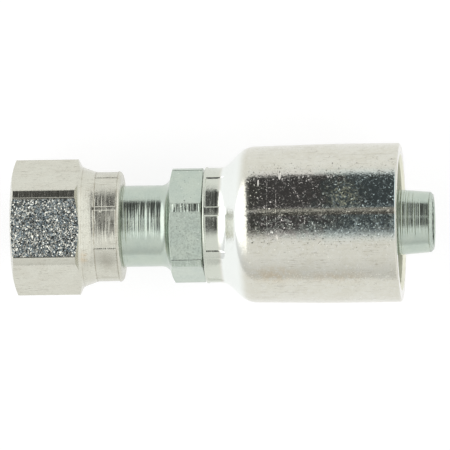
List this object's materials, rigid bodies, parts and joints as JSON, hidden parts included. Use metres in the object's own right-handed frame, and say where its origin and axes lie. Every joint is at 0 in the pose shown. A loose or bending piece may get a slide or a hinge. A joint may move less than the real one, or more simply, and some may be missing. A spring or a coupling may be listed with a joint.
{
  "type": "crimp hose fitting",
  "caption": "Straight crimp fitting for hydraulic hose, with a female flare swivel nut, a turned hexagon stem with a barbed tail, and a crimp shell.",
  "frame": {"origin": "centre of the nut's front face, on the fitting's axis", "axes": "+X along the flow towards the hose, +Z normal to one flat of the nut, +Y completes the frame; the fitting lies with a flat of the nut and the shell's rim on the floor"},
  "size_m": [0.0772, 0.0292, 0.0292],
  "materials": {
    "nut_zinc": "bright zinc plate with a warm cast over drawn and turned steel",
    "stem_zinc": "bright zinc plate with a cool cast over turned steel",
    "shell_zinc": "bright zinc plate, near mirror, with fine specks and hairlines"
  },
  "bodies": {
    "fitting": {"hose_stem": "stem_zinc", "crimp_shell": "shell_zinc"},
    "nut": {"swivel_nut": "nut_zinc"}
  },
  "joints": [
    {"name": "nut_swivel", "type": "hinge", "parent": "fitting", "child": "nut", "pos_m": [0.01792, 0, 0], "axis": [1, 0, 0], "continuous": true}
  ]
}
